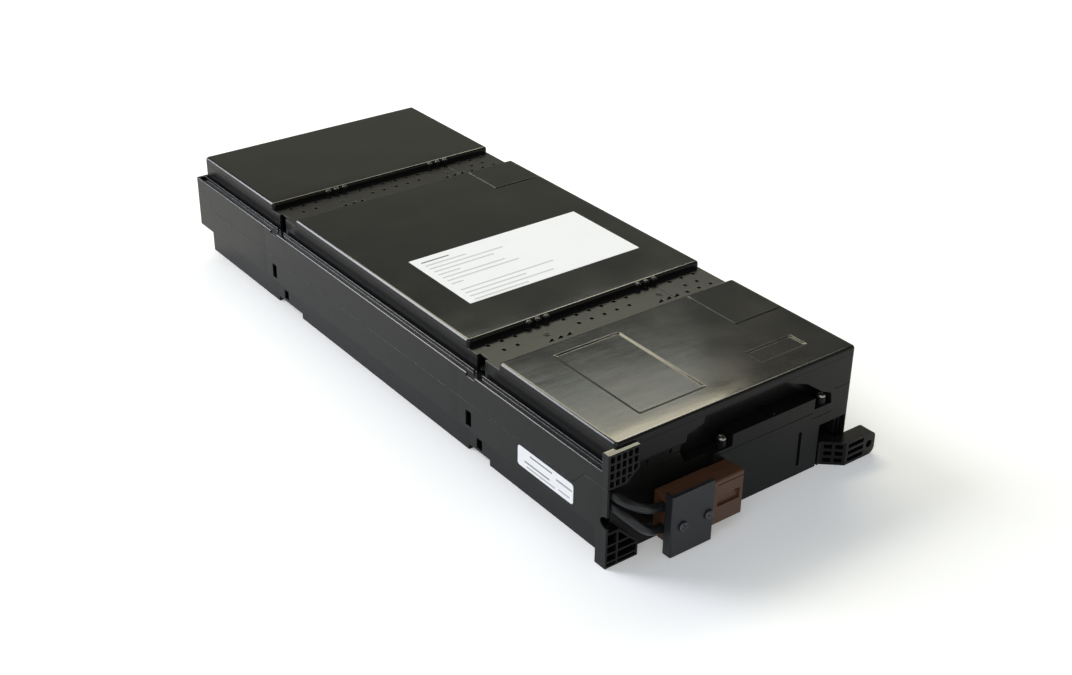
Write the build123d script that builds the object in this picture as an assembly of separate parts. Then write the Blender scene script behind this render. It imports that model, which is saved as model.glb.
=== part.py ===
"""Battery cartridge of a rack power supply: eight sealed blocks in series, in a two-part moulded case.

X runs across the case, Y from the connector end to the rear and Z up from the surface it lies on. Every
piece is drawn from the middle of the case body at its front wall, and moved to the part's origin at the end.
"""
from build123d import *
import math
import os

# Sealed battery blocks, lying on their sides with the lids facing the two cross gaps
block_width = 90.0
block_length = 101.0
block_height = 69.4
block_round = 2.0
block_lid = 14.0
block_lid_step = 0.6
block_gap = 1.6
block_clearance = 0.7
tab_width = 6.3
tab_thick = 0.8
tab_length = 6.4
tab_spread = 64.0
tab_drop = 19.7
socket_width = 8.4
socket_length = 9.0
socket_thick = 5.0
socket_clearance = 0.2

# Moulded case walls
wall = 2.0
floor_wall = 1.5
groove_wall = 1.4
lid_clearance = 0.2
corner_round = 2.4
edge_round = 2.0

# Lengths along the case
row_clearance = 0.5
front_spare = 3.8
middle_spare = 2.6
rear_spare = 2.5
groove_length = 31.2
groove_depth = 5.0
channel_height = 4.0
pocket_depth = 12.0

# Lead duct along the left side
duct_width = 8.1
duct_wall = 1.5
duct_roof = 3.6
duct_drop = 18.9
duct_slope = 6.6
ledge_drop = 14.7
lip_width = 0.9
lip_chamfer = 0.4
rib_width = 0.9
rib_inset = 1.5
ledge_groove = 2.2

# Line where the cover meets the tray
seam_middle_drop = 34.6
seam_end_drop = 24.9
seam_front_drop = 36.4
seam_niche_drop = 40.5
seam_end_run = 17.3
seam_slope_run = 8.1
seam_round = 4.0
seam_gap = 0.35

# Hand-hold pocket in the front, with a screw niche at each end of its bar. Its right-hand places, and those
# of the ear, are insets from the case's right side; left-hand ones are counted from the middle.
pocket_top_drop = 5.5
pocket_top_left = -28.5
pocket_top_inset = 57.9
pocket_left_side = ((-43.5, 25.5), (-41.5, 13.4), (-29.5, 9.8))
pocket_right_side = ((53.1, 8.4), (40.0, 13.3), (26.1, 23.4), (17.9, 27.0))
pocket_left = -39.0
pocket_inset = 16.6
bar_drop = 26.5
bar_left = -5.0
bar_inset = 31.1
bar_rib_x = 28.8
bar_rib = 1.4
tab_floor = 2.0
plate_left = -19.8
screw_left = -10.2
screw_inset = 22.0
screw_y = 4.2
screw_collar = 4.4
screw_collar_radius = 3.1
screw_head_radius = 2.9
screw_head_height = 2.2
screw_shank_radius = 1.4
screw_length = 14.5
screw_clearance = 0.15
boss_radius = 3.8

# Front wall: recess behind the connector, slots and the ear's recess
recess_top_drop = 18.0
recess_depth = 3.0
recess_slot_insets = (26.0, 43.0)
recess_slot = (2.0, 5.5, 1.2)
plate_slot_inset = 41.2
plate_slot = (2.6, 1.6)
plate_slot_base = 6.8
plate_slot_top_gap = 10.3
ear_recess_insets = (25.0, 2.5)
ear_recess_drop = 47.8
ear_recess_rib_insets = (8.9, 5.3)
ear_recess_rib = 1.0

# Corner blocks at the front left, placed inwards from the case's left side: a grid of cells on the cover and
# a braced foot on the tray
corner_reach = 4.1
corner_back = 1.5
grid_inset = 14.3
grid_top_drop = 2.4
grid_columns = 5
grid_rows = 4
grid_rib = 1.5
grid_depth = 4.0
grid_chamfer = (9.0, 7.0)
foot_back = 5.0
foot_inset = 15.5
foot_shoulder = 10.3
foot_knee_inset = 1.3
foot_upright_inset = 0.3
foot_first_level = 3.7
foot_level_pitch = 5.65
foot_levels = 3
foot_rib = 1.3
foot_depth = 6.0
post_hole_radius = 3.9
post_hole_drop = 21.6

# Mounting ear at the front right
ear_height = 16.5
ear_reach = 10.2
ear_overhang = 16.5
ear_root_insets = (23.3, 10.5)
ear_start_inset = 21.2
ear_bend_inset = 9.5
ear_rows = 3
ear_clearance = 0.3
ear_rib = 1.9
ear_pocket = 5.0
ear_hole_radius = 2.6
ear_hole_inset = 5.4
ear_boss_radius = 5.0
ear_round = 5.0

# Openings in the grooves and on the left side
vent_radius = 1.2
vent_pitch = 10.15
vent_rows = (4.3, 13.8, 21.6)
vent_left_inset = 21.9
vent_left_counts = (3, 2)
vent_middle = 1.2
vent_middle_counts = (6, 5)
vent_right_inset = 19.5
vent_right_counts = (3, 2, 3)
rib_groups = (-41.2, 46.8)
rib_pitch = 6.8
rib_radius = 2.3
rib_top_drop = 0.4
rib_chamfer = 0.8
rib_hole = (4.5, 2.8)
rib_hole_right = 3.3
rib_hole_inset = 8.8
mark_x = (-44.6, 46.7)
mark_inset = 17.2
mark_radius = 2.0
mark_depth = 0.3
line_inset = 40.9
line_width = 0.6
side_slot = (5.9, 10.8)
side_slot_drop = 16.9
side_slot_low = (5.8, 7.5, 5.6)
side_slot_back = 11.4
side_window = 8.2
side_window_depth = 2.5
side_window_back = 13.5

# Shallow panels in the tops
sunk_depth = 0.5
sunk_slope = 1.8
sunk_round = 1.5
front_sunk_inset = 30.3
front_sunk_width = 51.0
front_sunk_ends = (16.6, 12.3)
small_sunk_inset = 23.0
small_sunk_width = 38.6
small_sunk_start = 18.0
small_sunk_length = 15.0
raised_height = 0.45
raised_width = 38.6
raised_inset = 2.4
front_raised_length = 44.5
middle_raised_length = 35.0

# Labels
label_thick = 0.2
top_label_round = 0.4
top_label_insets = (28.5, 20.0)
top_label_start = 38.4
top_label_length = 71.8
side_label_round = 2.0
side_label_gap = 2.6
side_label_height = 13.5
side_label_length = 52.3

# Leads and links
lead_diameter = 5.8
link_diameter = 3.6
lead_bend = 5.0
lead_dip_run = 21.0
lead_dip_bend = 12.0
lead_drops = (11.8, 18.8)
lead_handover = 7.0
wall_window_margin = 1.6

# Free leads: where each leaves the duct, points across and below its mouth, and its run into the connector
cord_start_y = (-1.0, -2.0)
upper_cord = ((5.8, -8.6, 4.8), (16.8, -9.6, 11.8))
lower_cord = ((6.3, -9.2, 7.4), (16.8, -10.0, 18.4))
cord_end_runs = (5.2, 5.5)

# Connector on the free leads, with its strap plate
connector_inset = 29.5
connector_length = 54.0
connector_thick = 15.5
connector_height = 30.4
connector_base = 7.1
connector_gap = 0.4
connector_round = 1.2
pole_pitch = 15.0
mouth_size = (11.5, 10.4)
mouth_depth = 16.0
lead_bore_clearance = 0.25
lead_bore_depth = 6.0
contact_blade = (2.0, 8.0)
contact_setback = 2.0
contact_clearance = 0.1
window_inset = (2.3, 19.5)
window_rise = (12.2, 19.2)
window_depth = 1.5
window_hole = 2.4
rebate_length = 16.8
rebate_width = 8.0
rebate_depth = 1.2
lip_rise = 27.0
lip_groove = 0.6
strap_overhang = 1.8
strap_width = 31.0
strap_base = 0.4
strap_height = 41.0
strap_thick = 2.3
strap_flange = 1.5
strap_flange_depth = 4.2
strap_round = 1.0
strap_screw_inset = (8.4, 27.7)
strap_screw_height = 19.4
strap_screw_head = 3.2
strap_screw_head_height = 1.6
strap_screw_shank = 1.5
strap_screw_reach = 14.0

# Sizes worked out from the ones above
case_width = 2 * block_width + block_gap + 2 * block_clearance + 2 * wall
case_height = floor_wall + block_height + lid_clearance + groove_wall + groove_depth
half = case_width / 2
inside = half - wall
front_end = block_length + 2 * wall + front_spare
middle_start = front_end + groove_length
middle_end = middle_start + 2 * (block_length + wall + middle_spare) + block_gap
rear_start = middle_end + groove_length
case_length = rear_start + block_length + 2 * wall + rear_spare
groove_top = case_height - groove_depth
ledge_top = case_height - ledge_drop
duct_left = -half - duct_width
seam_middle = case_height - seam_middle_drop
duct_foot = seam_middle - duct_drop
duct_top = ledge_top - duct_roof
cell_start = pocket_depth + wall
row_front = cell_start + row_clearance
row_middle = (middle_start + middle_end) / 2
row_rear = case_length - wall - row_clearance
seam_end = case_height - seam_end_drop
seam_front = case_height - seam_front_drop
niche_floor = seam_front + tab_floor
pocket_right = half - pocket_inset
bar_span = (bar_left, half - bar_inset)
bar_top = case_height - bar_drop
screw_x = (screw_left, half - screw_inset)
recess_top = case_height - recess_top_drop
grid_right = -half + grid_inset
ear_recess = [half - inset for inset in ear_recess_insets]
ear_recess_height = case_height - ear_recess_drop
ear_tip = half + ear_overhang
connector_left = -half + connector_inset
strap_left = connector_left - strap_overhang
connector_front = -connector_gap - connector_thick
pole_heights = [connector_base + connector_height / 2 + side * pole_pitch / 2 for side in (1, -1)]
pole_y = -connector_gap - connector_thick / 2
lead_x = -half - (duct_width - duct_wall) / 2
lead_heights = [duct_top - drop for drop in lead_drops]
column_x = (block_width + block_gap) / 2
tab_height = floor_wall + block_height - tab_drop
lid_places = ((row_front + block_length, 1), (row_middle - block_gap / 2 - block_length, -1),
              (row_middle + block_gap / 2 + block_length, 1), (row_rear - block_length, -1))
wire_y = [lid_y + facing * (socket_clearance + socket_length / 2) for lid_y, facing in lid_places]
over = 1.0

# Origin: middle of the object's footprint, on the surface that it lies on
origin_x = (duct_left - label_thick + ear_tip) / 2
origin_y = (case_length - ear_reach) / 2


def slab(x, y, z):
    """Box between two values on each axis."""
    middle = [(a + b) / 2 for a, b in (x, y, z)]
    return Pos(*middle) * Box(x[1] - x[0], y[1] - y[0], z[1] - z[0])


def front_outline(points, y):
    """Outline given in X and Z, carried between two values of Y."""
    face = make_face(Polyline(*[(px, y[0], pz) for px, pz in points], close=True))
    return extrude(face, amount=y[1] - y[0], dir=(0, 1, 0))


def plan_outline(points, z):
    """Outline given in X and Y, carried between two values of Z."""
    face = make_face(Polyline(*[(px, py, z[0]) for px, py in points], close=True))
    return extrude(face, amount=z[1] - z[0], dir=(0, 0, 1))


def rod_along_y(x, z, y, radius):
    """Round bar along Y."""
    return Pos(x, (y[0] + y[1]) / 2, z) * Rot(90, 0, 0) * Cylinder(radius, y[1] - y[0])


def rod_along_z(x, y, z, radius):
    """Round bar along Z."""
    return Pos(x, y, (z[0] + z[1]) / 2) * Cylinder(radius, z[1] - z[0])


def rod_along_x(x, y, z, radius):
    """Round bar along X."""
    return Pos((x[0] + x[1]) / 2, y, z) * Rot(0, 90, 0) * Cylinder(radius, x[1] - x[0])


def top_panel(y):
    """One raised part of the case, with rounded corners and a rounded top edge."""
    body = slab((-half, half), y, (0, case_height))
    body = fillet(body.edges().filter_by(Axis.Z), corner_round)
    return fillet(body.faces().sort_by(Axis.Z)[-1].edges(), edge_round)


def case_outside():
    """Outside form of the closed case: three raised panels, two grooves and the lead duct."""
    bridge = 2 * corner_round
    case = top_panel((0, front_end)) + top_panel((middle_start, middle_end))
    case += top_panel((rear_start, case_length))
    case += slab((-half, half), (front_end - bridge, middle_start + bridge), (0, groove_top))
    case += slab((-half, half), (middle_end - bridge, rear_start + bridge), (0, groove_top))
    section = [(-inside, ledge_top), (duct_left + lip_chamfer, ledge_top),
               (duct_left, ledge_top - lip_chamfer), (duct_left, duct_foot),
               (-half, duct_foot - duct_slope), (-inside, duct_foot - duct_slope)]
    case += front_outline(section, (0, case_length))
    for y in channels():
        case -= slab((-half - over, half + over), y, (-over, channel_height))
    return case


def channels():
    """Cross channels under the case, below the two gaps between the rows of blocks."""
    first = row_front + block_length + row_clearance + floor_wall
    second = row_middle + block_gap / 2 + block_length + row_clearance + floor_wall
    return [(first, middle_start), (second, rear_start)]


def case_inside():
    """Space for the blocks, the lead duct and the hollows behind the front wall."""
    under_groove = groove_top - groove_wall
    under_panel = case_height - wall
    space = slab((-inside, inside), (cell_start, case_length - wall), (floor_wall, under_groove))
    for y in ((cell_start, front_end - wall), (middle_start + wall, middle_end - wall),
              (rear_start + wall, case_length - wall)):
        space += slab((-inside, inside), y, (under_groove - over, under_panel))
    for y in channels():
        raised = (y[0] - floor_wall, y[1] + floor_wall)
        space -= slab((-half, half), raised, (0, channel_height + floor_wall))
    space += slab((duct_left + duct_wall, -half), (-over, case_length - wall),
                  (duct_foot + duct_wall, duct_top))
    behind_recess = recess_depth + wall
    beside = pocket_left_side[0][0] - wall
    space += slab((-inside, beside), (behind_recess, pocket_depth), (floor_wall, under_panel))
    space += slab((beside - over, plate_left - wall), (behind_recess, pocket_depth),
                  (floor_wall, niche_floor - wall))
    behind = (wall, pocket_depth)
    space += slab((plate_left + wall, ear_recess[0] - wall), behind, (floor_wall, seam_front))
    space += slab((bar_span[0] + wall, bar_span[1] - wall), behind, (seam_front - over, bar_top - wall))
    space += slab((pocket_right + wall, inside), behind, (ear_recess_height + wall, under_panel))
    return space


def hand_hold():
    """Pocket for the fingers, with a bar across its mouth and a niche at each end of the bar."""
    top = case_height - pocket_top_drop
    outline = [(pocket_top_left, top), (half - pocket_top_inset, top)]
    outline += [(half - inset, case_height - drop) for inset, drop in pocket_right_side]
    outline += [(pocket_right, niche_floor), (bar_span[1], niche_floor), (bar_span[1], bar_top)]
    outline += [(bar_span[0], bar_top), (bar_span[0], niche_floor), (pocket_left, niche_floor)]
    outline += [(x, case_height - drop) for x, drop in pocket_left_side]
    return front_outline(outline, (-over, pocket_depth))


def wall_windows():
    """Openings in the left wall where the leads pass from the gaps into the duct."""
    reach = lead_diameter / 2 + wall_window_margin
    x = (-half - over, -inside + over)
    z = (tab_height - reach - over, tab_height + reach)
    along = reach + lead_bend
    front = slab(x, (wire_y[0] - along, wire_y[1] + along), z)
    rear = slab(x, (wire_y[2] - along, wire_y[3] + reach), z)
    return [front, rear]


def below_seam(drop):
    """Everything below the line where the cover meets the tray, lowered by the given amount."""
    far = case_height
    low = seam_middle - drop
    high = seam_end - drop
    slope_end = seam_end_run + seam_slope_run
    points = [(-far, -far), (-far, high), (seam_end_run, high), (slope_end, low)]
    points += [(case_length - slope_end, low), (case_length - seam_end_run, high)]
    points += [(case_length + far, high), (case_length + far, -far)]
    side = -half - duct_width - far
    path = FilletPolyline(*[(side, y, z) for y, z in points], radius=seam_round, close=True)
    zone = extrude(make_face(path), amount=-2 * side, dir=(1, 0, 0))
    zone -= slab((plate_left, bar_span[1]), (-far, cell_start + over), (seam_front - drop, high + far))
    niche = case_height - seam_niche_drop - drop
    zone -= slab((bar_span[1] - over, pocket_right + over), (-far, cell_start + over), (niche, high + far))
    return zone


def groove_details():
    """Holes and shallow marks in the grooves' floors, and half-round ribs that stand on their rear walls."""
    cuts = []
    ribs = []
    depth = (groove_top - groove_wall - over, groove_top + over)
    shallow = (groove_top - mark_depth, groove_top + over)
    line_x = half - line_inset
    vent_groups = ((-half + vent_left_inset, vent_left_counts), (vent_middle, vent_middle_counts),
                   (half - vent_right_inset, vent_right_counts))
    for start, end in ((front_end, middle_start), (middle_end, rear_start)):
        for middle, counts in vent_groups:
            for inset, count in zip(vent_rows, counts):
                for i in range(count):
                    x = middle + (i - (count - 1) / 2) * vent_pitch
                    cuts.append(rod_along_z(x, end - inset, depth, vent_radius))
        for middle in rib_groups:
            for i in (-1, 0, 1):
                x = middle + i * rib_pitch
                right = x + rib_hole_right
                base = start + rib_hole_inset
                corner = [(right - rib_hole[0], base), (right, base), (right, base + rib_hole[1])]
                cuts.append(plan_outline(corner, depth))
                rib = rod_along_z(x, end, (groove_top - groove_wall, case_height - rib_top_drop), rib_radius)
                ribs.append(chamfer(rib.edges().filter_by(GeomType.CIRCLE).sort_by(Axis.Z)[-1], rib_chamfer))
        for x in mark_x:
            cuts.append(rod_along_z(x, start + mark_inset, shallow, mark_radius))
        cuts.append(slab((line_x - line_width / 2, line_x + line_width / 2), (start, end), shallow))
    return cuts, ribs


def side_openings():
    """Slots in the left wall and notches in the ledge, one set at each groove."""
    cuts = []
    outer = (duct_left - over, duct_left + duct_wall + over)
    for start in (front_end, middle_end):
        middle = start + groove_length - side_slot_back
        width, height = side_slot
        base = seam_middle - side_slot_drop
        cuts.append(slab(outer, (middle - width / 2, middle + width / 2), (base, base + height)))
        width, height, base = side_slot_low
        cuts.append(slab((-half - over, -inside + over), (middle - width / 2, middle + width / 2),
                         (base, base + height)))
        near = start + side_window_back
        cuts.append(slab((duct_left - over, -half + side_window_depth), (near, near + side_window),
                         (ledge_top - ledge_groove, case_height)))
    return cuts


def braced_room(outline, rib, depth, uprights, levels):
    """Cells that open to the front: an outline drawn in by one rib, less its upright and level ribs."""
    front = Plane(origin=(0, -corner_reach - over, 0), x_dir=(1, 0, 0), z_dir=(0, -1, 0))
    inner = offset(make_face(Polyline(*outline, close=True)), -rib)
    room = extrude(front * inner, amount=depth + over, dir=(0, 1, 0))
    box = room.bounding_box()
    y = (box.min.Y, box.max.Y)
    for x in uprights:
        room -= slab((x - rib / 2, x + rib / 2), y, (box.min.Z, box.max.Z))
    for z in levels:
        room -= slab((box.min.X, box.max.X), y, (z - rib / 2, z + rib / 2))
    return room


def corner_grid():
    """Ribbed block at the cover's front left corner, open to the front in a grid of cells."""
    top = case_height - grid_top_drop
    outline = [(duct_left, seam_end), (grid_right - grid_chamfer[0], seam_end)]
    outline += [(grid_right, seam_end + grid_chamfer[1]), (grid_right, top), (duct_left, top)]
    block = front_outline(outline, (-corner_reach, corner_back))
    step_x = (grid_right - duct_left - grid_rib) / grid_columns
    step_z = (top - seam_end - grid_rib) / grid_rows
    uprights = [duct_left + grid_rib / 2 + i * step_x for i in range(1, grid_columns)]
    levels = [seam_end + grid_rib / 2 + i * step_z for i in range(1, grid_rows)]
    return block - braced_room(outline, grid_rib, grid_depth, uprights, levels)


def corner_foot():
    """Braced foot at the tray's front left corner, with level ribs, one upright and a sloping shoulder."""
    right = -half + foot_inset
    outline = [(duct_left, 0), (right, 0), (right, foot_shoulder)]
    outline += [(-half + foot_knee_inset, duct_foot), (duct_left, duct_foot)]
    foot = front_outline(outline, (-corner_reach, foot_back))
    levels = [foot_first_level + i * foot_level_pitch for i in range(foot_levels)]
    return foot - braced_room(outline, foot_rib, foot_depth, [-half + foot_upright_inset], levels)


def shell_pieces():
    """Cover and tray: one hollow case, parted along the seam, each with its own fittings."""
    shell = case_outside() - case_inside() - hand_hold()
    shell -= slab((-half - over, plate_left), (-over, recess_depth), (-over, seam_end))
    shell -= slab((grid_right, plate_left), (-over, recess_depth), (seam_end - over, recess_top))
    for inset in recess_slot_insets:
        x = -half + inset
        width, height, depth = recess_slot
        shell -= slab((x - width / 2, x + width / 2), (0, recess_depth + depth),
                      (recess_top - height, recess_top))
    shell -= slab(ear_recess, (-over, pocket_depth), (-over, ear_recess_height))
    for window in wall_windows():
        shell -= window
    cuts, ribs = groove_details()
    for rib in ribs:
        shell += rib
    for cut in cuts + side_openings():
        shell -= cut
    groove_left = duct_left + lip_width
    rib_right = -half - rib_inset
    groove_depth_range = (ledge_top - ledge_groove, ledge_top + over)
    along = (corner_back, case_length - wall)
    shell -= slab((groove_left, rib_right - rib_width), along, groove_depth_range)
    shell -= slab((rib_right, -half), along, groove_depth_range)
    tray = tray_fittings(shell & below_seam(seam_gap))
    cover = cover_fittings(shell - below_seam(0))
    return cover, tray


def cover_fittings(cover):
    """Adds the corner grid, the screw collars and the shallow panels to the cover."""
    cover += corner_grid()
    rib_x = (bar_rib_x - bar_rib / 2, bar_rib_x + bar_rib / 2)
    cover += slab(rib_x, (wall / 2, pocket_depth), (bar_top - over, bar_top + bar_rib))
    hole = screw_shank_radius + screw_clearance
    collar_top = niche_floor + screw_collar
    for x in screw_x:
        cover += rod_along_z(x, screw_y, (niche_floor - over, collar_top), screw_collar_radius)
        cover -= rod_along_z(x, screw_y, (collar_top - screw_length, collar_top + over), hole)
    sunk_left = -half + front_sunk_inset
    cover -= sunk_panel((sunk_left, sunk_left + front_sunk_width),
                        (front_sunk_ends[0], front_end - front_sunk_ends[1]))
    sunk_right = half - small_sunk_inset
    cover -= sunk_panel((sunk_right - small_sunk_width, sunk_right),
                        (small_sunk_start, small_sunk_start + small_sunk_length))
    raised = (case_height - over, case_height + raised_height)
    raised_right = half - raised_inset
    for end, length in ((front_end, front_raised_length), (middle_end, middle_raised_length)):
        edge = end - raised_inset
        cover += slab((raised_right - raised_width, raised_right), (edge - length, edge), raised)
    return cover


def sunk_panel(x, y):
    """Shallow panel let into the top; its sloping sides are carried on above the surface for the cut."""
    size = (x[1] - x[0], y[1] - y[0])
    edge = 2 * sunk_slope
    floor = Pos(0, 0, -sunk_depth) * RectangleRounded(size[0] - edge, size[1] - edge, sunk_round)
    mouth = Pos(0, 0, sunk_depth) * RectangleRounded(size[0] + edge, size[1] + edge, sunk_round)
    return Pos(sum(x) / 2, sum(y) / 2, case_height) * loft([floor, mouth])


def tray_fittings(tray):
    """Adds the foot, the corner post, the screw boss and the front slot to the tray."""
    tray += corner_foot()
    tray += slab((duct_left, duct_left + duct_wall), (-corner_reach, over),
                 (duct_foot - over, seam_end - seam_gap))
    hole_way = Pos(duct_left, -corner_reach, seam_end - post_hole_drop) * Rot(0, 0, 45) * Rot(0, 90, 0)
    tray -= hole_way * Cylinder(post_hole_radius, 4 * corner_reach)
    tray += rod_along_z(screw_x[0], screw_y, (floor_wall - over / 2, seam_front - seam_gap), boss_radius)
    hole = screw_shank_radius + screw_clearance
    depth = niche_floor + screw_collar - screw_length - over
    for x in screw_x:
        tray -= rod_along_z(x, screw_y, (depth, seam_end), hole)
    width, deep = plate_slot
    slot_x = half - plate_slot_inset
    tray -= slab((slot_x - width / 2, slot_x + width / 2), (-over, deep),
                 (plate_slot_base, seam_front - plate_slot_top_gap))
    for inset in ear_recess_rib_insets:
        x = half - inset
        tray += slab((x - ear_recess_rib / 2, x + ear_recess_rib / 2), (wall, pocket_depth + over),
                     (ear_height + over, ear_recess_height + over))
    return tray


def mounting_ear():
    """Ribbed lug that leaves its recess at a slant and runs on across the corner to a screw hole."""
    root = [half - inset for inset in ear_root_insets]
    start = half - ear_start_inset
    bend = half - ear_bend_inset
    plan = [(root[0], pocket_depth), (root[1], pocket_depth), (root[1], -ear_clearance),
            (ear_tip, -ear_clearance), (ear_tip, -ear_reach), (bend, -ear_reach), (start, 0), (root[0], 0)]
    ear = plan_outline(plan, (0, ear_height))
    tips = ear.edges().filter_by(Axis.Y).sort_by(Axis.X)[-2:]
    ear = fillet(tips, ear_round)
    step = (ear_height - ear_rib) / ear_rows
    slant = math.hypot(bend - start, ear_reach)
    turn = math.degrees(math.atan2(-ear_reach, bend - start))
    hole_x = ear_tip - ear_hole_inset
    for row in range(ear_rows):
        z = (ear_rib + row * step, (row + 1) * step)
        ear -= slab((bend + ear_rib, hole_x - ear_boss_radius),
                    (-ear_reach - over, -ear_reach + ear_pocket), z)
        cell = (slant - 3 * ear_rib) / 2
        for place in (ear_rib, 2 * ear_rib + cell):
            pocket = slab((place, place + cell), (-over, ear_pocket), z)
            ear -= Pos(start, 0, 0) * Rot(0, 0, turn) * pocket
    ear -= rod_along_y(hole_x, ear_height / 2, (-ear_reach - over, over), ear_hole_radius)
    return ear


def battery_block(x, lid_y, facing):
    """Sealed block with a stepped lid; its lid faces along Y, and its floor is the tray's."""
    base_y = lid_y - facing * block_length
    joint_y = lid_y - facing * block_lid
    z = (floor_wall, floor_wall + block_height)
    body = slab((x - block_width / 2, x + block_width / 2), sorted((base_y, joint_y)), z)
    body = fillet(body.edges().filter_by(Axis.Y), block_round)
    step = block_lid_step
    lid = slab((x - block_width / 2 + step, x + block_width / 2 - step),
               sorted((joint_y - facing * step, lid_y)), (z[0] + step, z[1] - step))
    lid = fillet(lid.edges().filter_by(Axis.Y), block_round)
    return body + lid


def terminal_tab(x, lid_y, facing):
    """Flat push-on terminal that stands on a block's lid."""
    return slab((x - tab_width / 2, x + tab_width / 2), sorted((lid_y, lid_y + facing * tab_length)),
                (tab_height - tab_thick / 2, tab_height + tab_thick / 2))


def socket(x, lid_y, facing):
    """Insulated push-on socket over a terminal, hollow round the tab."""
    near = lid_y + facing * socket_clearance
    far = near + facing * socket_length
    body = slab((x - socket_width / 2, x + socket_width / 2), sorted((near, far)),
                (tab_height - socket_thick / 2, tab_height + socket_thick / 2))
    room_x = tab_width / 2 + socket_clearance
    room_z = tab_thick / 2 + socket_clearance
    room_y = sorted((lid_y, lid_y + facing * (tab_length + socket_clearance)))
    return body - slab((x - room_x, x + room_x), room_y, (tab_height - room_z, tab_height + room_z))


def bent_wire(points, diameter, radii):
    """Round wire along straight runs joined by arcs, one radius for each corner."""
    path = FilletPolyline(*points, radius=radii)
    start = Plane(origin=path @ 0, z_dir=path % 0)
    return sweep(start * Circle(diameter / 2), path=path)


def cord_radii(points):
    """Largest arcs that the runs on both sides of each corner leave room for."""
    radii = []
    for before, corner, after in zip(points, points[1:], points[2:]):
        first = Vector(*corner) - Vector(*before)
        second = Vector(*after) - Vector(*corner)
        half_turn = math.radians(first.get_angle(second)) / 2
        radii.append(0.45 * min(first.length, second.length) / math.tan(half_turn))
    return radii


def connector_pieces():
    """Two-pole connector housing, its contacts, the strap plate on its front and the plate's screws."""
    right = connector_left + connector_length
    y = (connector_front, -connector_gap)
    housing = slab((connector_left, right), y, (connector_base, connector_base + connector_height))
    housing = fillet(housing.edges().filter_by(Axis.X), connector_round)
    bore = lead_diameter / 2 + lead_bore_clearance
    mouth_y, mouth_z = mouth_size
    blade_thick, blade_width = contact_blade
    barrel = lead_diameter / 2
    contacts = []
    for z in pole_heights:
        housing -= rod_along_x((connector_left - over, right - mouth_depth + over), pole_y, z, bore)
        housing -= slab((right - mouth_depth, right + over), (pole_y - mouth_y / 2, pole_y + mouth_y / 2),
                        (z - mouth_z / 2, z + mouth_z / 2))
        blade_y = pole_y + mouth_y / 2 - contact_clearance
        root = right - mouth_depth + blade_thick
        contact = rod_along_x((connector_left + lead_bore_depth, root), pole_y, z, barrel)
        contact += slab((right - mouth_depth + contact_clearance, root), (pole_y - barrel, blade_y),
                        (z - blade_width / 2, z + blade_width / 2))
        contact += slab((right - mouth_depth + contact_clearance, right - contact_setback),
                        (blade_y - blade_thick, blade_y), (z - blade_width / 2, z + blade_width / 2))
        contacts.append(contact)
    window_z = [connector_base + rise for rise in window_rise]
    housing -= slab((right - window_inset[1], right - window_inset[0]),
                    (connector_front - over, connector_front + window_depth), window_z)
    housing -= slab((right - window_inset[0] - window_hole, right - window_inset[0]),
                    (connector_front, pole_y), (window_z[1] - window_hole, window_z[1]))
    top = connector_base + connector_height
    housing -= slab((right - rebate_length, right + over), (connector_front + rebate_width, over),
                    (top - rebate_depth, top + over))
    lip_z = connector_base + lip_rise
    lip_y = (connector_front - over, connector_front + lip_groove)
    housing -= slab((right - window_inset[1], right + over), lip_y,
                    (lip_z - lip_groove / 2, lip_z + lip_groove / 2))
    strap_front = connector_front - strap_thick
    z = (strap_base, strap_base + strap_height)
    strap = slab((strap_left, strap_left + strap_width), (strap_front, connector_front), z)
    strap += slab((strap_left, strap_left + strap_flange),
                  (strap_front, connector_front + strap_flange_depth), z)
    corner = strap.edges().filter_by(Axis.Z).sort_by_distance((strap_left, strap_front, strap_base))[0]
    strap = fillet(corner, strap_round)
    screws = []
    for inset in strap_screw_inset:
        sx = strap_left + inset
        hole = strap_screw_shank + screw_clearance
        reach = (strap_front - over, connector_front + strap_screw_reach)
        strap -= rod_along_y(sx, strap_screw_height, reach, hole)
        housing -= rod_along_y(sx, strap_screw_height, reach, hole)
        head_y = (strap_front - strap_screw_head_height, strap_front)
        head = rod_along_y(sx, strap_screw_height, head_y, strap_screw_head)
        rim = head.edges().filter_by(GeomType.CIRCLE).sort_by(Axis.Y)[0]
        head = fillet(rim, strap_screw_head_height * 0.6)
        shank_y = (strap_front - over / 2, reach[1] - over)
        shank = rod_along_y(sx, strap_screw_height, shank_y, strap_screw_shank)
        screws.append(head + shank)
    return housing, contacts, strap, screws


def cover_screws():
    """Pan-head screws that hold the cover down to the tray at the ends of the bar."""
    screws = []
    base = niche_floor + screw_collar
    for x in screw_x:
        head = rod_along_z(x, screw_y, (base, base + screw_head_height), screw_head_radius)
        rim = head.edges().filter_by(GeomType.CIRCLE).sort_by(Axis.Z)[-1]
        head = fillet(rim, screw_head_height * 0.6)
        shank = rod_along_z(x, screw_y, (base - screw_length + over, base + over / 2), screw_shank_radius)
        screws.append(head + shank)
    return screws


def sticker(size, corner, turn, place):
    """Thin label with rounded corners, lying on a flat face."""
    sheet = extrude(RectangleRounded(size[0], size[1], corner), amount=label_thick)
    return place * turn * sheet


def series_places():
    """Blocks in the order that the current takes: column, row and the places of the two terminals."""
    outer = column_x + tab_spread / 2
    inner = column_x - tab_spread / 2
    order = [(-1, 0), (1, 0), (1, 1), (-1, 1), (-1, 2), (1, 2), (1, 3), (-1, 3)]
    blocks = []
    for step, (side, row) in enumerate(order):
        ends = (side * outer, side * inner) if step % 2 == 0 else (side * inner, side * outer)
        blocks.append((side * column_x, row, ends))
    return blocks


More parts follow.
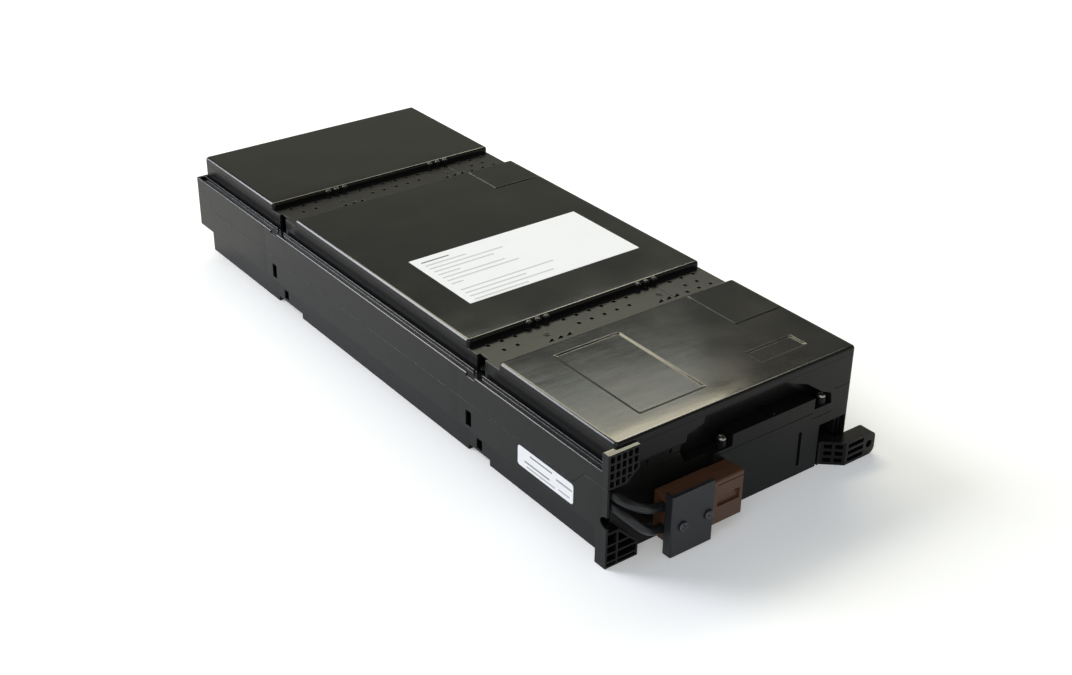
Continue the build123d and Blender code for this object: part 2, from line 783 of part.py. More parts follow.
def link_wire(first, second):
    """Wire from one block's second terminal to the next block's first."""
    start_x, start_row = first[2][1], first[1]
    end_x, end_row = second[2][0], second[1]
    if start_row == end_row:
        reach = sorted((start_x, end_x))
        ends = (reach[0] + socket_width / 2, reach[1] - socket_width / 2)
        return rod_along_x(ends, wire_y[start_row], tab_height, link_diameter / 2)
    if lid_places[start_row][1] > lid_places[end_row][1]:
        span = socket_clearance + socket_length
        ends = (lid_places[start_row][0] + span, lid_places[end_row][0] - span)
        return rod_along_y(start_x, tab_height, ends, link_diameter / 2)
    edge = start_x - socket_width / 2
    points = [(edge, wire_y[start_row], tab_height), (lead_x, wire_y[start_row], tab_height),
              (lead_x, wire_y[end_row], tab_height), (edge, wire_y[end_row], tab_height)]
    return bent_wire(points, link_diameter, [lead_bend, lead_bend])


def inner_lead(terminal_x, row, height):
    """Lead from an end terminal into the duct, dipping to its own height and running to the front."""
    edge = terminal_x - socket_width / 2
    points = [(edge, wire_y[row], tab_height), (lead_x, wire_y[row], tab_height),
              (lead_x, wire_y[row] - lead_dip_run, height), (lead_x, lead_handover, height)]
    return bent_wire(points, lead_diameter, [lead_bend, lead_dip_bend])


def free_lead(name, pole, shape_points):
    """Lead outside the case: out of the duct's mouth, across the corner and into the connector."""
    height = lead_heights[pole]
    points = [(lead_x, lead_handover, height), (lead_x, cord_start_y[pole], height)]
    points += [(lead_x + across, y, height - drop) for across, y, drop in shape_points]
    for x in (connector_left - cord_end_runs[pole], connector_left + lead_bore_depth):
        points.append((x, pole_y, pole_heights[pole]))
    radii = cord_radii(points)
    print(name, "bend radii", [round(radius, 1) for radius in radii])
    print(name, "points", [tuple(round(value, 3) for value in point) for point in points])
    return bent_wire(points, lead_diameter, radii)


def write(name, shape):
    """Moves a piece, or a group of like pieces, to the part's origin and writes it."""
    solids = shape if isinstance(shape, list) else shape.solids()
    moved = [Pos(-origin_x, -origin_y, 0) * solid for solid in solids]
    export_step(moved[0] if len(moved) == 1 else Compound(children=moved), f"parts/{name}.step")


os.makedirs("parts", exist_ok=True)
cover, tray = shell_pieces()
write("top_cover", cover)
write("bottom_tray", tray)
write("mounting_ear", mounting_ear())
write("cover_screws", cover_screws())

blocks = series_places()
tabs = []
sockets = []
for number, (block_x, row, ends) in enumerate(blocks, 1):
    lid_y, facing = lid_places[row]
    write(f"battery_{number}", battery_block(block_x, lid_y, facing))
    tabs += [terminal_tab(x, lid_y, facing) for x in ends]
    sockets += [socket(x, lid_y, facing) for x in ends]
write("battery_terminals", tabs)
write("terminal_sockets", sockets)
for number, (first, second) in enumerate(zip(blocks, blocks[1:]), 1):
    write(f"link_{number}", link_wire(first, second))
write("negative_lead_inner", inner_lead(blocks[0][2][0], blocks[0][1], lead_heights[0]))
write("positive_lead_inner", inner_lead(blocks[-1][2][1], blocks[-1][1], lead_heights[1]))
write("negative_lead", free_lead("negative_lead", 0, upper_cord))
write("positive_lead", free_lead("positive_lead", 1, lower_cord))

housing, contacts, strap, strap_screws = connector_pieces()
write("connector_housing", housing)
write("connector_contacts", contacts)
write("connector_strap", strap)
write("strap_screws", strap_screws)

label_x = (-half + top_label_insets[0], half - top_label_insets[1])
label_y = middle_start + top_label_start + top_label_length / 2
write("top_label", sticker((label_x[1] - label_x[0], top_label_length), top_label_round, Rot(0, 0, 0),
                           Pos(sum(label_x) / 2, label_y, case_height)))
label_y = seam_end_run + seam_slope_run + side_label_length / 2
label_z = seam_middle - side_label_gap - side_label_height / 2
write("side_label", sticker((side_label_height, side_label_length), side_label_round, Rot(0, -90, 0),
                            Pos(duct_left, label_y, label_z)))
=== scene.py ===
"""Looks of the battery cartridge: moulded case, labels, free leads, screw heads, light and camera."""

import bpy
import numpy as np
from mathutils import Matrix, Vector


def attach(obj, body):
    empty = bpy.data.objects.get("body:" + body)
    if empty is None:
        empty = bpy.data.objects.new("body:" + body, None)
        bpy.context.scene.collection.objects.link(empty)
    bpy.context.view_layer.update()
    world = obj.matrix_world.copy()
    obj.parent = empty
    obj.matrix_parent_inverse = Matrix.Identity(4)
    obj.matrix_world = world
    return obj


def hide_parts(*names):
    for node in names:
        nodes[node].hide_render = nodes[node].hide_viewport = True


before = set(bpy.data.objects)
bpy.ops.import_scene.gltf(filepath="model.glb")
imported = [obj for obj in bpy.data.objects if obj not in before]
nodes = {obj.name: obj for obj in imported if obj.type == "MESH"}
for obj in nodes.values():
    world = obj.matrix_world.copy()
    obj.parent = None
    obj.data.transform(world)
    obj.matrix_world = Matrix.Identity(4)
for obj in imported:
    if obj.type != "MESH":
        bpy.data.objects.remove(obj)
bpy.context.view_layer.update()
MM = 0.001

# The case's own axes start at the middle of its front wall; the part's origin lies this far from there
CASE_SHIFT = np.array([4.1, 240.65, 0.0])
HALF_WIDTH = 93.5
CASE_HEIGHT = 77.5


def place(points):
    """Points given in millimetres from the middle of the case's front wall, in metres in the part's frame."""
    return (np.asarray(points, dtype=float) - CASE_SHIFT) * MM


def linear(hex_colour):
    """sRGB hex colour as linear red, green, blue and alpha."""
    srgb = np.array([int(hex_colour[i:i + 2], 16) for i in (1, 3, 5)]) / 255.0
    rgb = np.where(srgb <= 0.04045, srgb / 12.92, ((srgb + 0.055) / 1.055) ** 2.4)
    return (*rgb, 1.0)


def add(tree, kind, inputs=None, **settings):
    """Adds one node: settings are its properties, inputs its values or the sockets that feed it.
    A Mix node's sockets are known by number: 0 is its factor, 2 and 3 its numbers, 6 and 7 its colours."""
    node = tree.nodes.new(kind)
    for name, value in settings.items():
        setattr(node, name, value)
    for name, value in (inputs or {}).items():
        if isinstance(value, bpy.types.NodeSocket):
            tree.links.new(value, node.inputs[name])
        else:
            node.inputs[name].default_value = value
    return node


def new_material(name, **values):
    """A material with one Principled shader, whose plain values are set on its own sockets."""
    material = bpy.data.materials.new(name)
    material.use_nodes = True
    shader = material.node_tree.nodes["Principled BSDF"]
    for socket, value in values.items():
        shader.inputs[socket.replace("_", " ")].default_value = value
    return material, material.node_tree, shader


def show(piece):
    """Puts a new object into the scene."""
    bpy.context.scene.collection.objects.link(piece)
    return piece


# Height of the grooves' floors, which have a coarser spark texture than the polished panels
STRIP_HEIGHT = 72.5
STRIP_REACH = 0.1

# A face whose normal rises or falls by less than this is a wall
WALL_RISE = 0.3

# Near and far edges of the three panels, how far from each near edge the top rolls off, and by how much
PANELS = ((0.0, 108.8), (140.0, 352.8), (384.0, 491.5))
ROLL_LENGTH = 14.0
ROLL_DROP = 0.2

# Edges are crisp below the first height and rounded above the second. The shallow steps that lie further than
# the margin inside a panel take a share of that rounding.
EDGE_HEIGHTS = (50.0, 56.0)
EDGE_RADII = (0.25, 0.9)
EDGE_SAMPLES = 12
EDGE_MARGIN = 6.0
STEP_SHARE = 0.45

# Sizes of the case's patterns: slow clouds, streaks of the melt's flow across the case, and the mould's
# grain, which is drawn coarser than a real one so that it shows
CLOUD_SIZE = 45.0
FLOW_SIZE = 9.0
FLOW_STRETCH = 5.0
GRAIN_SIZE = 0.9

# Strength of each pattern's bump, and its depth in millimetres
CLOUD_BUMP = (0.3, 0.3)
FLOW_BUMP = (0.3, 0.15)
GRAIN_BUMP = (0.06, 0.04)

# Gloss of the case: the panels' roughness follows the clouds, walls and groove floors share one value
CLOUD_RANGE = (0.3, 0.7)
PANEL_ROUGHNESS = (0.10, 0.16)
DULL_ROUGHNESS = 0.28
PANEL_SHINE = 0.5
WALL_SHINE = 0.15
STRIP_SHINE = 0.33


def panel_masks(tree, axes):
    """How far the rolled near edges have dropped, as the square of the share of the roll that is left, and
    where a point lies inside a panel, away from its edges."""
    drop = inside = 0.0
    for start, end in PANELS:
        near = (start - CASE_SHIFT[1]) * MM
        half = (end - start) / 2 * MM
        along = add(tree, "ShaderNodeMath", {0: axes["Y"], 1: near + half, 2: half - EDGE_MARGIN * MM},
                    operation="COMPARE")
        inside = add(tree, "ShaderNodeMath", {0: along.outputs[0], 1: inside}, operation="ADD").outputs[0]
        left = add(tree, "ShaderNodeMapRange",
                   {"Value": axes["Y"], "From Min": near, "From Max": near + ROLL_LENGTH * MM,
                    "To Min": 1.0, "To Max": 0.0}).outputs["Result"]
        drop = add(tree, "ShaderNodeMath", {0: left, 1: left, 2: drop}, operation="MULTIPLY_ADD").outputs[0]
    across = add(tree, "ShaderNodeMath",
                 {0: axes["X"], 1: -CASE_SHIFT[0] * MM, 2: (HALF_WIDTH - EDGE_MARGIN) * MM},
                 operation="COMPARE")
    step = add(tree, "ShaderNodeMath", {0: inside, 1: across.outputs[0]}, operation="MULTIPLY")
    return drop, step.outputs[0]


def case_relief(tree, where, axes, cloud):
    """Normal of the case's surface: rounded edges, then the panels' rolled near edges, the sunk flats, the
    flow's streaks and the fine grain, each bump laid over the one before."""
    drop, step = panel_masks(tree, axes)
    edge = add(tree, "ShaderNodeMapRange",
               {"Value": axes["Z"], "From Min": EDGE_HEIGHTS[0] * MM, "From Max": EDGE_HEIGHTS[1] * MM,
                "To Min": EDGE_RADII[0] * MM, "To Max": EDGE_RADII[1] * MM}).outputs["Result"]
    share = add(tree, "ShaderNodeMath", {0: step, 1: STEP_SHARE - 1, 2: 1.0}, operation="MULTIPLY_ADD")
    radius = add(tree, "ShaderNodeMath", {0: edge, 1: share.outputs[0]}, operation="MULTIPLY")
    rounded = add(tree, "ShaderNodeBevel", {"Radius": radius.outputs[0]}, samples=EDGE_SAMPLES)
    normal = add(tree, "ShaderNodeBump",
                 {"Height": drop, "Distance": ROLL_DROP * MM, "Normal": rounded.outputs["Normal"]},
                 invert=True).outputs["Normal"]
    stretched = add(tree, "ShaderNodeMapping", {"Vector": where, "Scale": (1 / FLOW_STRETCH, 1.0, 1.0)})
    flow = add(tree, "ShaderNodeTexNoise",
               {"Vector": stretched.outputs[0], "Scale": 1 / (FLOW_SIZE * MM), "Detail": 3.0})
    grain = add(tree, "ShaderNodeTexNoise", {"Vector": where, "Scale": 1 / (GRAIN_SIZE * MM), "Detail": 2.0})
    for pattern, (strength, depth) in ((cloud, CLOUD_BUMP), (flow, FLOW_BUMP), (grain, GRAIN_BUMP)):
        normal = add(tree, "ShaderNodeBump",
                     {"Height": pattern.outputs["Fac"], "Strength": strength, "Distance": depth * MM,
                      "Normal": normal}).outputs["Normal"]
    return normal


def moulded_abs():
    """Black ABS from a polished mould: dark body, clear gloss on the tops, slow waves where the flats have
    sunk, duller walls and groove floors, and edges that catch the light."""
    material, tree, shader = new_material("black moulded ABS", IOR=1.48)
    spot = add(tree, "ShaderNodeTexCoord")
    where = spot.outputs["Object"]
    axes = add(tree, "ShaderNodeSeparateXYZ", {0: where}).outputs
    rise = add(tree, "ShaderNodeSeparateXYZ", {0: spot.outputs["Normal"]}).outputs["Z"]
    strip = add(tree, "ShaderNodeMath", {0: axes["Z"], 1: STRIP_HEIGHT * MM, 2: STRIP_REACH * MM},
                operation="COMPARE").outputs[0]
    wall = add(tree, "ShaderNodeMath", {0: rise, 1: 0.0, 2: WALL_RISE}, operation="COMPARE").outputs[0]
    cloud = add(tree, "ShaderNodeTexNoise", {"Vector": where, "Scale": 1 / (CLOUD_SIZE * MM), "Detail": 3.0})
    shade = add(tree, "ShaderNodeMix", {0: cloud.outputs["Fac"], 6: linear("#121213"), 7: linear("#1d1d1d")},
                data_type="RGBA")
    tree.links.new(shade.outputs[2], shader.inputs["Base Color"])
    gloss = add(tree, "ShaderNodeMapRange",
                {"Value": cloud.outputs["Fac"], "From Min": CLOUD_RANGE[0], "From Max": CLOUD_RANGE[1],
                 "To Min": PANEL_ROUGHNESS[0], "To Max": PANEL_ROUGHNESS[1]})
    dull = add(tree, "ShaderNodeMath", {0: strip, 1: wall}, operation="MAXIMUM")
    rough = add(tree, "ShaderNodeMix", {0: dull.outputs[0], 2: gloss.outputs["Result"], 3: DULL_ROUGHNESS})
    tree.links.new(rough.outputs[0], shader.inputs["Roughness"])
    shine = PANEL_SHINE
    for zone, level in ((wall, WALL_SHINE), (strip, STRIP_SHINE)):
        shine = add(tree, "ShaderNodeMath", {0: zone, 1: level - PANEL_SHINE, 2: shine},
                    operation="MULTIPLY_ADD").outputs[0]
    tree.links.new(shine, shader.inputs["Specular IOR Level"])
    tree.links.new(case_relief(tree, where, axes, cloud), shader.inputs["Normal"])
    return material


# Plain plastics and metals: size of the patches where colour and gloss vary, how far the gloss varies, and
# the strength and depth of a plastic's grain
PLASTIC_PATCH = 9.0
PLASTIC_VARIES = 0.06
PLASTIC_BUMP = (0.15, 0.05)
PLASTIC_EDGE_SAMPLES = 4
METAL_PATCH = 1.5
METAL_VARIES = (-0.1, 0.15)


def plain_plastic(name, colour, pale, rough, grain_mm, edge_mm=0.4):
    """Moulded or drawn plastic with a fine even grain, a little paler in patches, with rounded edges."""
    material, tree, shader = new_material(name, Specular_IOR_Level=0.35)
    where = add(tree, "ShaderNodeTexCoord").outputs["Object"]
    patch = add(tree, "ShaderNodeTexNoise",
                {"Vector": where, "Scale": 1 / (PLASTIC_PATCH * MM), "Detail": 4.0}).outputs["Fac"]
    grain = add(tree, "ShaderNodeTexNoise", {"Vector": where, "Scale": 1 / (grain_mm * MM), "Detail": 2.0})
    shade = add(tree, "ShaderNodeMix", {0: patch, 6: linear(colour), 7: linear(pale)}, data_type="RGBA")
    tree.links.new(shade.outputs[2], shader.inputs["Base Color"])
    gloss = add(tree, "ShaderNodeMapRange",
                {"Value": patch, "To Min": rough - PLASTIC_VARIES, "To Max": rough + PLASTIC_VARIES})
    tree.links.new(gloss.outputs["Result"], shader.inputs["Roughness"])
    rounded = add(tree, "ShaderNodeBevel", {"Radius": edge_mm * MM}, samples=PLASTIC_EDGE_SAMPLES)
    strength, depth = PLASTIC_BUMP
    fine = add(tree, "ShaderNodeBump",
               {"Height": grain.outputs["Fac"], "Strength": strength, "Distance": depth * MM,
                "Normal": rounded.outputs["Normal"]})
    tree.links.new(fine.outputs["Normal"], shader.inputs["Normal"])
    return material


def plated_metal(name, colour, rough):
    """Plated steel or tinned brass: bright, with a fine uneven gloss."""
    material, tree, shader = new_material(name, Metallic=1.0, Base_Color=linear(colour))
    where = add(tree, "ShaderNodeTexCoord").outputs["Object"]
    patch = add(tree, "ShaderNodeTexNoise", {"Vector": where, "Scale": 1 / (METAL_PATCH * MM), "Detail": 4.0})
    less, more = METAL_VARIES
    gloss = add(tree, "ShaderNodeMapRange",
                {"Value": patch.outputs["Fac"], "To Min": rough + less, "To Max": rough + more})
    tree.links.new(gloss.outputs["Result"], shader.inputs["Roughness"])
    return material


# Print on the top sticker, in case millimetres: plain grey bars from the near edge up, then a darker one
TOP_PRINT_START = -59.5
TOP_PRINT_FIRST = 181.6
TOP_PRINT_PITCH = 5.15
TOP_BAR_LENGTHS = (42.5, 66.8, 48.1, 74.2, 0.0, 9.0, 57.1, 49.5, 17.2, 47.8, 58.8, 32.2)
TOP_BAR_THICK = 1.5
TOP_BAR_INK = 0.42
DARK_BAR_LENGTH = 21.8
DARK_BAR_INK = 0.9

# Print on the side sticker, in case millimetres: each bar's height, near end, far end and strength of ink
SIDE_BARS = [(29.0, 41.8, 69.0, 0.5), (31.8, 47.1, 71.0, 0.75), (37.5, 44.9, 65.8, 0.75),
             (35.5, 26.6, 41.1, 0.7), (29.9, 28.5, 38.6, 0.5)]
SIDE_BAR_THICK = 1.2

# The vinyl's patches and satin grain in millimetres, and the grain's strength and depth
VINYL_PATCH = 12.0
VINYL_GRAIN = 0.5
VINYL_BUMP = (0.1, 0.03)


def top_bars():
    """Bars of the top sticker in metres in the part's frame: level, start, end and ink. A row of no length
    is left blank."""
    lengths = np.array([*TOP_BAR_LENGTHS, DARK_BAR_LENGTH])
    row = np.arange(len(lengths))
    levels = TOP_PRINT_FIRST + TOP_PRINT_PITCH * row
    inks = np.where(row < len(TOP_BAR_LENGTHS), TOP_BAR_INK, DARK_BAR_INK)
    starts = place(np.c_[np.full_like(levels, TOP_PRINT_START), levels, np.zeros_like(levels)])
    rows = np.c_[starts[:, 1], starts[:, 0], starts[:, 0] + lengths * MM, inks]
    return rows[lengths > 0].tolist()


def side_bars():
    """Bars of the side sticker in metres in the part's frame: level, start, end and ink."""
    return [(level * MM, (low - CASE_SHIFT[1]) * MM, (high - CASE_SHIFT[1]) * MM, ink)
            for level, low, high, ink in SIDE_BARS]


def vinyl_sticker(name, along_axis, up_axis, printed, thick):
    """White vinyl with a faint satin grain and printed bars. A bar is inked where a point lies within half
    its thickness of its level and within half its length of its middle."""
    material, tree, shader = new_material(name, IOR=1.45, Roughness=0.42)
    where = add(tree, "ShaderNodeTexCoord").outputs["Object"]
    axes = add(tree, "ShaderNodeSeparateXYZ", {0: where}).outputs
    ink = 0.0
    for level, low, high, strength in printed:
        near = add(tree, "ShaderNodeMath", {0: axes[up_axis], 1: level, 2: thick / 2}, operation="COMPARE")
        within = add(tree, "ShaderNodeMath", {0: axes[along_axis], 1: (low + high) / 2, 2: (high - low) / 2},
                     operation="COMPARE")
        bar = add(tree, "ShaderNodeMath", {0: near.outputs[0], 1: within.outputs[0]}, operation="MULTIPLY")
        ink = add(tree, "ShaderNodeMath", {0: bar.outputs[0], 1: strength, 2: ink},
                  operation="MULTIPLY_ADD").outputs[0]
    patch = add(tree, "ShaderNodeTexNoise", {"Vector": where, "Scale": 1 / (VINYL_PATCH * MM), "Detail": 3.0})
    paper = add(tree, "ShaderNodeMix", {0: patch.outputs["Fac"], 6: linear("#ebecf0"), 7: linear("#f0f1f5")},
                data_type="RGBA")
    face = add(tree, "ShaderNodeMix", {0: ink, 6: paper.outputs[2], 7: linear("#4c4c4c")}, data_type="RGBA")
    tree.links.new(face.outputs[2], shader.inputs["Base Color"])
    grain = add(tree, "ShaderNodeTexNoise", {"Vector": where, "Scale": 1 / (VINYL_GRAIN * MM), "Detail": 2.0})
    strength, depth = VINYL_BUMP
    fine = add(tree, "ShaderNodeBump",
               {"Height": grain.outputs["Fac"], "Strength": strength, "Distance": depth * MM})
    tree.links.new(fine.outputs["Normal"], shader.inputs["Normal"])
    return material


def finish(material, *names):
    """Gives CAD nodes one material."""
    for name in names:
        mesh = nodes[name].data
        mesh.materials.clear()
        mesh.materials.append(material)


case_abs = moulded_abs()
# Matt moulded blocks, which lie hidden in the case
battery_abs = plain_plastic("grey-black battery ABS", "#242527", "#2b2c2e", rough=0.55, grain_mm=0.8)
# Warm dark brown with a satin skin that shows soft broad highlights
brown_connector = plain_plastic("brown polycarbonate", "#533724", "#63432e", rough=0.36, grain_mm=0.7)
# Cool dark grey, satin
slate_strap = plain_plastic("slate nylon", "#222529", "#2b2f34", rough=0.38, grain_mm=0.7)
# Smooth extruded jacket with a long soft highlight
lead_jacket = plain_plastic("dark PVC jacket", "#17191b", "#202225", rough=0.34, grain_mm=0.6, edge_mm=0.2)
# Pale milky sleeves on the terminals
clear_nylon = plain_plastic("clear nylon", "#c9c4b4", "#d6d1c3", rough=0.35, grain_mm=0.8, edge_mm=0.2)
# Bright small glints on the cover's screws
zinc_steel = plated_metal("zinc-plated steel", "#a09e98", rough=0.30)
# Dark screws that barely stand out from the strap
dull_steel = plated_metal("blackened steel", "#54565a", rough=0.40)
# Pale, slightly warm contacts with a soft sheen
tinned_brass = plated_metal("tinned brass", "#b9b4a6", rough=0.35)

finish(case_abs, "top_cover", "bottom_tray", "mounting_ear")
finish(battery_abs, *[f"battery_{i}" for i in range(1, 9)])
finish(brown_connector, "connector_housing")
finish(slate_strap, "connector_strap")
finish(lead_jacket, "negative_lead_inner", "positive_lead_inner", *[f"link_{i}" for i in range(1, 8)])
finish(clear_nylon, "terminal_sockets")
finish(tinned_brass, "battery_terminals", "connector_contacts")
finish(vinyl_sticker("white vinyl top sticker", "X", "Y", top_bars(), TOP_BAR_THICK * MM), "top_label")
finish(vinyl_sticker("white vinyl side sticker", "Y", "Z", side_bars(), SIDE_BAR_THICK * MM), "side_label")


# Screws: where each head sits, the way it faces and its sizes
COVER_SCREWS = {"spots": [(-10.2, 4.2, 47.5), (71.5, 4.2, 47.5)], "across": (1, 0, 0), "beside": (0, 1, 0),
                "radius": 2.9, "height": 2.2, "shank": 1.4, "length": 13.5}
STRAP_SCREWS = {"spots": [(-57.4, -18.2, 19.4), (-38.1, -18.2, 19.4)], "across": (1, 0, 0),
                "beside": (0, 0, 1), "radius": 3.2, "height": 1.6, "shank": 1.5, "length": 15.3}

# A screw's mesh: points round it, rings over its crown and its rim, and the small ring that closes each pole
SCREW_SEGMENTS = 144
CROWN_RINGS = 30
RIM_RINGS = 8
POLE_RADIUS = 0.04

# How far the crown would fall at the full radius, in millimetres
CROWN_DROP = 0.08

# Shares of the head's height that the rounded rim and the cross take, and of its radius for the cross's arms
RIM_SHARE = 0.6
CROSS_DEPTH = 0.62
ARM_WIDTH = 0.16
ARM_REACH = 0.62

# Turn of the first screw's cross and from each screw to the next, in radians
FIRST_TURN = 0.35
NEXT_TURN = 0.8


def screw_surface(radius, height, shank, length, turn):
    """Pan-head screw as a surface of revolution: a profile of distance from the axis and height, from the
    middle of the crown over a rounded rim and down the shank, carried round the axis. The crown sinks where a
    point lies in either arm of a cross, by a depth that fades towards the arms' ends."""
    rim = RIM_SHARE * height
    crown = np.linspace(POLE_RADIUS, radius - rim, CROWN_RINGS)
    bend = np.linspace(0, np.pi / 2, RIM_RINGS + 1)[1:]
    out = np.r_[crown, radius - rim + rim * np.sin(bend), radius, shank, shank, POLE_RADIUS]
    up = np.r_[height - CROWN_DROP * (crown / radius) ** 2, height - rim + rim * np.cos(bend),
               0, 0, -length, -length]
    angle = np.linspace(0, 2 * np.pi, SCREW_SEGMENTS, endpoint=False)
    x = out[:, None] * np.cos(angle)
    y = out[:, None] * np.sin(angle)
    z = np.repeat(up[:, None], SCREW_SEGMENTS, axis=1)
    first = np.abs(x * np.cos(turn) + y * np.sin(turn))
    second = np.abs(y * np.cos(turn) - x * np.sin(turn))
    arm_width, arm_reach = ARM_WIDTH * radius, ARM_REACH * radius
    arms = np.maximum((first < arm_width) * np.clip(1 - second / arm_reach, 0, 1),
                      (second < arm_width) * np.clip(1 - first / arm_reach, 0, 1))
    z[:CROWN_RINGS] -= CROSS_DEPTH * height * np.sqrt(arms[:CROWN_RINGS])
    rings = np.stack([x, y, z], axis=-1).reshape(-1, 3)
    ends = np.array([[0, 0, z[0].mean()], [0, 0, -length]])
    return np.r_[rings, ends], len(out)


def screws(name, node, spots, across, beside, material, **sizes):
    """One mesh with all the screws of a kind, each turned a little differently, closed at both poles."""
    across, beside = np.array(across, dtype=float), np.array(beside, dtype=float)
    axes = np.stack([across, beside, np.cross(across, beside)])
    points, quads, caps = [], [], []
    for number, spot in enumerate(spots):
        surface, rows = screw_surface(turn=FIRST_TURN + NEXT_TURN * number, **sizes)
        base = number * len(surface)
        index = np.arange(rows * SCREW_SEGMENTS).reshape(rows, SCREW_SEGMENTS) + base
        after = np.roll(index, -1, axis=1)
        quads.append(np.stack([index[:-1], index[1:], after[1:], after[:-1]], axis=-1).reshape(-1, 4))
        top = np.full(SCREW_SEGMENTS, base + rows * SCREW_SEGMENTS)
        caps.append(np.c_[top, index[0], after[0]])
        caps.append(np.c_[top + 1, after[-1], index[-1]])
        points.append(place(surface @ axes + np.array(spot)))
    mesh = bpy.data.meshes.new(name)
    mesh.from_pydata(np.concatenate(points).tolist(), [],
                     np.concatenate(quads).tolist() + np.concatenate(caps).tolist())
    mesh.materials.append(material)
    mesh.shade_smooth()
    piece = show(bpy.data.objects.new(name, mesh))
    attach(piece, "root")
    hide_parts(node)
    return piece


screws("cover_screw_heads", "cover_screws", material=zinc_steel, **COVER_SCREWS)
strap_screw_heads = screws("strap_screw_heads", "strap_screws", material=dull_steel, **STRAP_SCREWS)


# Free leads: the same points as the routes of their solids
LEAD_DIAMETER = 5.8
NEGATIVE_ROUTE = [(-96.8, 7.0, 47.4), (-96.8, -1.0, 47.4), (-91.0, -8.6, 42.6), (-80.0, -9.6, 35.6),
                  (-69.2, -8.15, 29.8), (-58.0, -8.15, 29.8)]
POSITIVE_ROUTE = [(-96.8, 7.0, 40.4), (-96.8, -2.0, 40.4), (-90.5, -9.2, 33.0), (-80.0, -10.0, 22.0),
                  (-69.5, -8.15, 14.8), (-58.0, -8.15, 14.8)]


def free_lead(name, node, route):
    """Round lead along one smooth spline through the duct's mouth to the connector."""
    points = place(route)
    curve = bpy.data.curves.new(name, "CURVE")
    curve.dimensions = "3D"
    curve.bevel_depth = LEAD_DIAMETER / 2 * MM
    curve.bevel_resolution = 8
    curve.resolution_u = 24
    curve.use_fill_caps = True
    spline = curve.splines.new("NURBS")
    spline.points.add(len(points) - 1)
    spline.points.foreach_set("co", np.c_[points, np.ones(len(points))].ravel())
    spline.order_u = 3
    spline.use_endpoint_u = True
    curve.materials.append(lead_jacket)
    lead = show(bpy.data.objects.new(name, curve))
    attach(lead, "root")
    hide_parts(node)
    return lead, points


upper, upper_points = free_lead("negative_lead_cord", "negative_lead", NEGATIVE_ROUTE)
lower, lower_points = free_lead("positive_lead_cord", "positive_lead", POSITIVE_ROUTE)


# Floor: half its width in metres, and how far it is lifted towards white where it is seen or mirrored
FLOOR_HALF = 6.0
FLOOR_LIFT = 0.26

# Surround: a low and a greater height in degrees, and its strength below the one and above the other
SURROUND_HEIGHTS = (24.0, 31.0)
SURROUND_LEVELS = (0.28, 0.12)

# The lamps face this point of the near panel, in case millimetres, from this many metres away
LIT_SPOT = (0.0, 50.0, CASE_HEIGHT)
LAMP_DISTANCE = 2.6

# Camera: the frame, its optical middle and the focal length in pixels, the sensor and the eye in millimetres,
# and the picture's axes in the part's frame
FRAME_SIZE = (1072, 675)
FRAME_MIDDLE = (528.35, 323.33)
FOCAL_LENGTH = 1544.07
SENSOR_WIDTH = 36.0
EYE = (-550.75, -527.78, 532.99)
PICTURE_RIGHT = (0.80242, -0.59667, 0.01036)
PICTURE_UP = (0.27937, 0.39093, 0.87700)
PICTURE_BACK = (-0.52733, -0.70083, 0.48038)


def floor():
    """Wide pale floor. Seen directly or mirrored, it is lifted towards white, and it keeps the shadow."""
    mesh = bpy.data.meshes.new("floor")
    corners = np.array([(-1, -1, 0), (1, -1, 0), (1, 1, 0), (-1, 1, 0)])
    mesh.from_pydata((FLOOR_HALF * corners).tolist(), [], [(0, 1, 2, 3)])
    material, tree, shader = new_material("pale floor", Base_Color=linear("#f4f4f3"), Roughness=0.9,
                                          Specular_IOR_Level=0.1, Emission_Color=linear("#ffffff"))
    path = add(tree, "ShaderNodeLightPath").outputs
    seen = path["Is Camera Ray"]
    for ray in ("Is Glossy Ray", "Is Transmission Ray"):
        seen = add(tree, "ShaderNodeMath", {0: seen, 1: path[ray]}, operation="MAXIMUM").outputs[0]
    lift = add(tree, "ShaderNodeMath", {0: seen, 1: FLOOR_LIFT}, operation="MULTIPLY")
    tree.links.new(lift.outputs[0], shader.inputs["Emission Strength"])
    mesh.materials.append(material)
    show(bpy.data.objects.new("floor", mesh))


def surround():
    """Soft warm surround, which the flat tops mirror: even up to a low height, then falling to a dimmer
    level."""
    world = bpy.data.worlds.new("studio")
    world.use_nodes = True
    tree = world.node_tree
    toward = add(tree, "ShaderNodeTexCoord").outputs["Generated"]
    height = add(tree, "ShaderNodeSeparateXYZ", {0: toward}).outputs["Z"]
    low, high = np.sin(np.radians(SURROUND_HEIGHTS))
    level = add(tree, "ShaderNodeMapRange",
                {"Value": height, "From Min": low, "From Max": high,
                 "To Min": SURROUND_LEVELS[0], "To Max": SURROUND_LEVELS[1]})
    background = tree.nodes["Background"]
    background.inputs["Color"].default_value = linear("#ffffea")
    tree.links.new(level.outputs["Result"], background.inputs["Strength"])
    bpy.context.scene.world = world


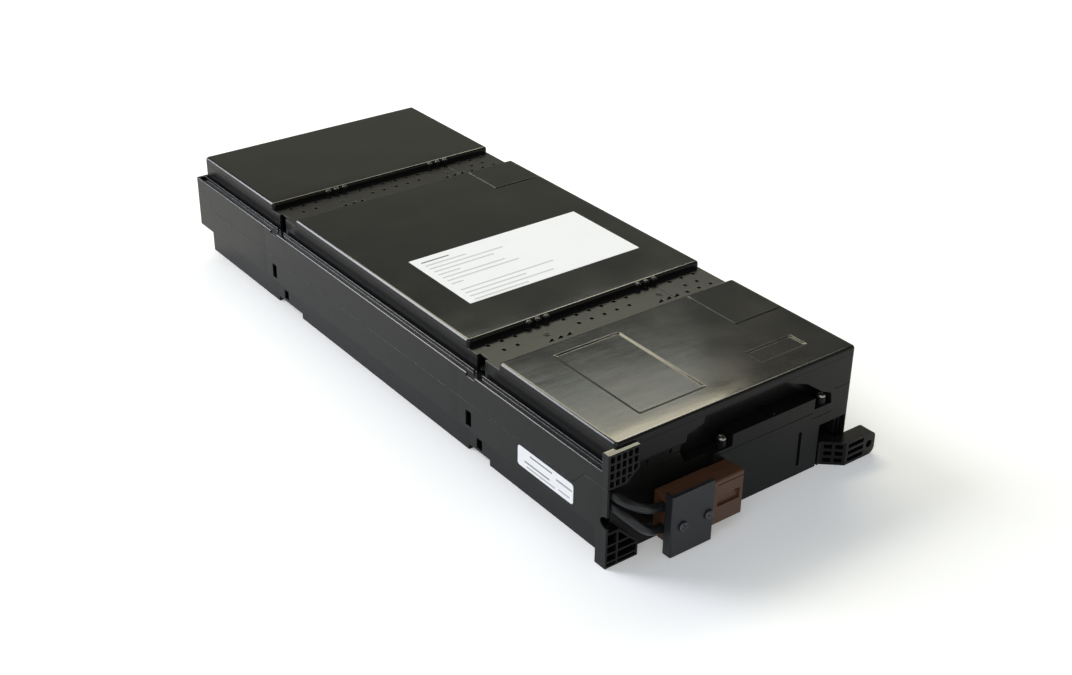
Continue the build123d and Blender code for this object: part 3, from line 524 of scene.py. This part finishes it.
def lamp(name, kind, direction, energy, colour, **settings):
    """One lamp that faces the near panel. Its direction is an azimuth, counted from +X towards +Y, and an
    elevation, in degrees."""
    light = bpy.data.lights.new(name, kind)
    light.energy = energy
    light.color = linear(colour)[:3]
    for key, value in settings.items():
        setattr(light, key, value)
    around, up = np.radians(direction)
    away = Vector((np.cos(up) * np.cos(around), np.cos(up) * np.sin(around), np.sin(up)))
    spot = Matrix.Translation(Vector(place(LIT_SPOT)) + away * LAMP_DISTANCE)
    turn = away.to_track_quat("Z", "Y").to_matrix().to_4x4()
    show(bpy.data.objects.new(name, light)).matrix_world = spot @ turn


def softbox(name, direction, energy, colour, width, height):
    """A rectangular area lamp, with its width and height in metres."""
    lamp(name, "AREA", direction, energy, colour, shape="RECTANGLE", size=width, size_y=height)


def studio_light():
    """A long softbox behind with a dimmer screen under it, which the near panel mirrors, a small softbox at
    the right, two broad lights that the left edges mirror, and two fills."""
    softbox("back_softbox", (76.5, 42.8), energy=31.3, colour="#fff8da", width=2.75, height=0.5)
    softbox("back_screen", (78, 35.4), energy=3.1, colour="#f8fef6", width=2.75, height=0.16)
    softbox("right_softbox", (37, 43), energy=6.0, colour="#fffcea", width=0.7, height=0.4)
    lamp("left_light", "SUN", (121, 34), energy=1.5, colour="#f0f4ff", angle=0.42)
    lamp("edge_light", "SUN", (129, 16), energy=1.0, colour="#f2f6ff", angle=0.42)
    lamp("top_light", "SUN", (180, 84), energy=0.36, colour="#b4d0ff", angle=0.7)
    lamp("left_fill", "SUN", (215, 35), energy=0.55, colour="#ffffff", angle=0.9)


def photo_camera():
    """Camera at the photograph's place and angle, shifted as its frame is."""
    scene = bpy.context.scene
    width, height = FRAME_SIZE
    camera = bpy.data.cameras.new("camera")
    camera.sensor_fit = "HORIZONTAL"
    camera.sensor_width = SENSOR_WIDTH
    camera.lens = FOCAL_LENGTH / width * SENSOR_WIDTH
    camera.shift_x = (width / 2 - FRAME_MIDDLE[0]) / width
    camera.shift_y = (FRAME_MIDDLE[1] - height / 2) / width
    camera.clip_start = 0.01
    turn = Matrix((PICTURE_RIGHT, PICTURE_UP, PICTURE_BACK)).transposed().to_4x4()
    scene.camera = show(bpy.data.objects.new("camera", camera))
    scene.camera.matrix_world = Matrix.Translation(Vector(place(EYE))) @ turn
    scene.view_settings.view_transform = "Standard"


floor()
surround()
studio_light()
photo_camera()
